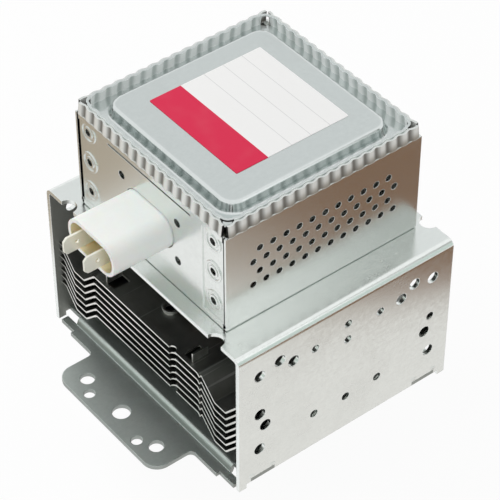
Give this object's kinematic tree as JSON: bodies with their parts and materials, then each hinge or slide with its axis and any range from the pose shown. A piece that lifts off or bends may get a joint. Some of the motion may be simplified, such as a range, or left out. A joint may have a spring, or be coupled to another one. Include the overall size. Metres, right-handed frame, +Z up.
{
  "type": "magnetron",
  "caption": "Microwave-oven magnetron: drilled steel yoke round a stack of cooling fins, crimped filter box with a blade connector on top, tabbed mounting plate and capped antenna below.",
  "frame": {"origin": "on the antenna's axis, in the plane of the mounting flange's underside", "axes": "+Z up, away from the antenna; -Y towards the connector's mouth; +X to the right seen from the connector"},
  "size_m": [0.1002, 0.1254, 0.128],
  "materials": {
    "zinc_steel": "zinc-coated, satin, with faint spangle",
    "plate_steel": "zinc-coated, satin",
    "box_steel": "zinc-coated, satin",
    "cover_steel": "zinc-coated, satin",
    "fin_aluminium": "bright rolled sheet",
    "ferrite": "matt dark grey",
    "copper": "bare copper",
    "pole_iron": "plated iron",
    "tungsten": "bare refractory metal",
    "sleeve_steel": "plated steel",
    "terminal_metal": "plated",
    "alumina": "matt, faintly pink",
    "cap_steel": "drawn stainless steel",
    "gasket_mesh": "knitted wire",
    "label_paper": "satin, plain colour band",
    "connector_plastic": "white moulded",
    "capacitor_resin": "cast resin",
    "blade_metal": "tin-plated",
    "choke_wire": "enamelled copper"
  },
  "bodies": {
    "root": {"yoke_frame": "zinc_steel", "mounting_plate": "plate_steel", "upper_magnet": "ferrite", "lower_magnet": "ferrite", "cooling_fin_1": "fin_aluminium", "cooling_fin_2": "fin_aluminium", "cooling_fin_3": "fin_aluminium", "cooling_fin_4": "fin_aluminium", "cooling_fin_5": "fin_aluminium", "cooling_fin_6": "fin_aluminium", "cooling_fin_7": "fin_aluminium", "anode_cylinder": "copper", "anode_vanes": "copper", "inner_strap_ring": "copper", "outer_strap_ring": "copper", "upper_pole_piece": "pole_iron", "lower_pole_piece": "pole_iron", "cathode_filament": "tungsten", "upper_end_hat": "tungsten", "lower_end_hat": "tungsten", "centre_lead": "tungsten", "side_lead": "tungsten", "stem_sleeve": "sleeve_steel", "stem_ceramic": "alumina", "centre_terminal": "terminal_metal", "side_terminal": "terminal_metal", "antenna_sleeve": "sleeve_steel", "antenna_ceramic": "alumina", "antenna_rod": "copper", "exhaust_tube": "copper", "antenna_cap": "cap_steel", "rf_gasket": "gasket_mesh", "filter_box": "box_steel", "filter_cover": "cover_steel", "box_rivets": "sleeve_steel", "label_sheet": "label_paper", "connector_housing": "connector_plastic", "earth_plate": "plate_steel", "feedthrough_capacitor": "capacitor_resin", "blade_terminal_1": "blade_metal", "blade_terminal_2": "blade_metal", "choke_coil_1": "choke_wire", "choke_coil_2": "choke_wire", "ferrite_core_1": "ferrite", "ferrite_core_2": "ferrite"}
  },
  "joints": []
}
